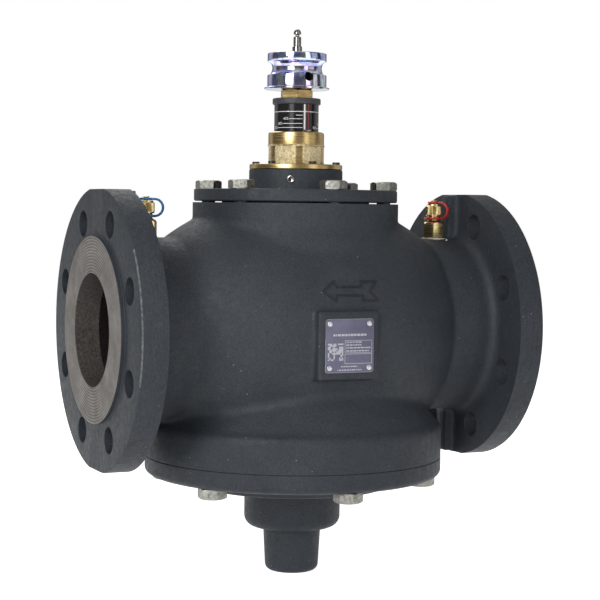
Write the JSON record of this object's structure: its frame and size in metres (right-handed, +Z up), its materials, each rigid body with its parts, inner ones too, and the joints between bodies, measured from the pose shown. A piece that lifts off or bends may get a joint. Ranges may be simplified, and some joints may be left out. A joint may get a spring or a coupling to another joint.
{
  "type": "pressure independent control valve",
  "caption": "Flanged balancing and control valve with a presetting sleeve and grooved actuator ring on top, a spring-loaded pressure regulator below and two capped test plugs.",
  "frame": {"origin": "centre of the outlet flange's raised face, on the pipe axis", "axes": "+X along the pipe from the outlet face to the inlet face, +Z up along the stem, label on the -Y side"},
  "size_m": [0.31, 0.218, 0.3975],
  "materials": {
    "painted_iron": "cast iron under matt dark blue-grey paint, finely speckled",
    "zinc_steel": "dull zinc-plated hexagon screws",
    "brass": "turned and cast brass",
    "bronze": "sintered bronze bushes",
    "blue_zinc": "bright iridescent blue zinc",
    "black_steel": "black oxide steel",
    "scale_black": "glossy black sleeve with printed scale",
    "cap_dark": "matt dark ring",
    "stainless": "turned stainless steel",
    "spring_steel": "spring wire",
    "rubber": "black seal rubber",
    "gasket": "dark fibre gasket",
    "label": "muted purple-blue metal plate, bare of words",
    "rivet": "small drive rivets",
    "blue_plastic": "moulded blue plastic",
    "red_plastic": "moulded red plastic",
    "white_seal": "white sealing ring"
  },
  "bodies": {
    "root": {"body_casting": "painted_iron", "outlet_flange": "painted_iron", "inlet_flange": "painted_iron", "chamber_ring": "painted_iron", "bonnet_spigot": "brass", "top_cover": "painted_iron", "top_cover_gasket": "gasket", "top_cover_screws": "zinc_steel", "clamp_plate": "brass", "clamp_plate_screws": "black_steel", "collar_set_screw": "zinc_steel", "bonnet": "brass", "bonnet_seal": "rubber", "stem_bush": "bronze", "stem_seals": "rubber", "gland_ring": "brass", "stem_spring": "spring_steel", "seat_cage": "bronze", "cage_gasket": "gasket", "upper_seat": "stainless", "lower_seat": "stainless", "guide_plate": "zinc_steel", "guide_plate_seal": "rubber", "guide_plate_ring": "spring_steel", "guide_bush": "bronze", "diaphragm": "rubber", "diaphragm_spring": "spring_steel", "spring_seat": "zinc_steel", "stub_bush": "bronze", "bottom_cover": "painted_iron", "bottom_cover_screws": "zinc_steel", "label_plate": "label", "label_rivets": "rivet", "outlet_nipple": "brass", "inlet_nipple": "brass", "outlet_neck": "brass", "inlet_neck": "brass", "plug_cores": "rubber", "inlet_seal_ring": "white_seal"},
    "stem": {"stem": "stainless", "control_plug": "stainless", "control_plug_seal": "rubber", "control_plug_nut": "zinc_steel", "spring_cup": "zinc_steel", "circlip": "spring_steel"},
    "preset_slide": {"stop_bush": "stainless"},
    "preset_sleeve": {"scale_sleeve": "scale_black", "cap_ring": "cap_dark", "drive_hexagon": "brass", "actuator_ring": "blue_zinc"},
    "regulator": {"regulator_spindle": "stainless", "throttle_plug": "stainless", "throttle_seal": "rubber", "throttle_nut": "zinc_steel", "upper_diaphragm_plate": "zinc_steel", "lower_diaphragm_plate": "zinc_steel"},
    "outlet_strap": {"outlet_strap": "blue_plastic"},
    "outlet_cap": {"outlet_cap": "brass"},
    "inlet_strap": {"inlet_strap": "red_plastic"},
    "inlet_cap": {"inlet_cap": "brass"}
  },
  "joints": [
    {"name": "stem_lift", "type": "slide", "parent": "root", "child": "stem", "axis": [0, 0, 1], "range_m": [-0.02, 0], "stiffness_N_per_m": 900, "springref_m": 0.02, "deforming": ["stem_spring"]},
    {"name": "preset_slide", "type": "slide", "parent": "root", "child": "preset_slide", "axis": [0, 0, 1], "range_m": [-0.015, 0]},
    {"name": "preset_turn", "type": "hinge", "parent": "preset_slide", "child": "preset_sleeve", "pos_m": [0.155, 0, 0.18], "axis": [0, 0, 1], "range_deg": [-1801, 0]},
    {"name": "regulator_lift", "type": "slide", "parent": "root", "child": "regulator", "axis": [0, 0, 1], "range_m": [-0.012, 0], "stiffness_N_per_m": 5000, "springref_m": 0.02, "deforming": ["diaphragm_spring", "diaphragm"]},
    {"name": "outlet_cap_lift", "type": "slide", "parent": "root", "child": "outlet_strap", "axis": [0, 0, 1], "range_m": [0, 0.0051]},
    {"name": "outlet_cap_turn", "type": "hinge", "parent": "outlet_strap", "child": "outlet_cap", "pos_m": [0.0395, 0, 0.086], "axis": [0, 0, 1], "range_deg": [0, 1800]},
    {"name": "inlet_cap_lift", "type": "slide", "parent": "root", "child": "inlet_strap", "axis": [0, 0, 1], "range_m": [0, 0.0051]},
    {"name": "inlet_cap_turn", "type": "hinge", "parent": "inlet_strap", "child": "inlet_cap", "pos_m": [0.2705, 0, 0.086], "axis": [0, 0, 1], "range_deg": [0, 1800]}
  ],
  "couplings": [
    {"joint": "preset_turn", "follows": "preset_slide", "rad_per_m": 2094.4},
    {"joint": "outlet_cap_lift", "follows": "outlet_cap_turn", "m_per_rad": 0.00015915},
    {"joint": "inlet_cap_lift", "follows": "inlet_cap_turn", "m_per_rad": 0.00015915}
  ]
}
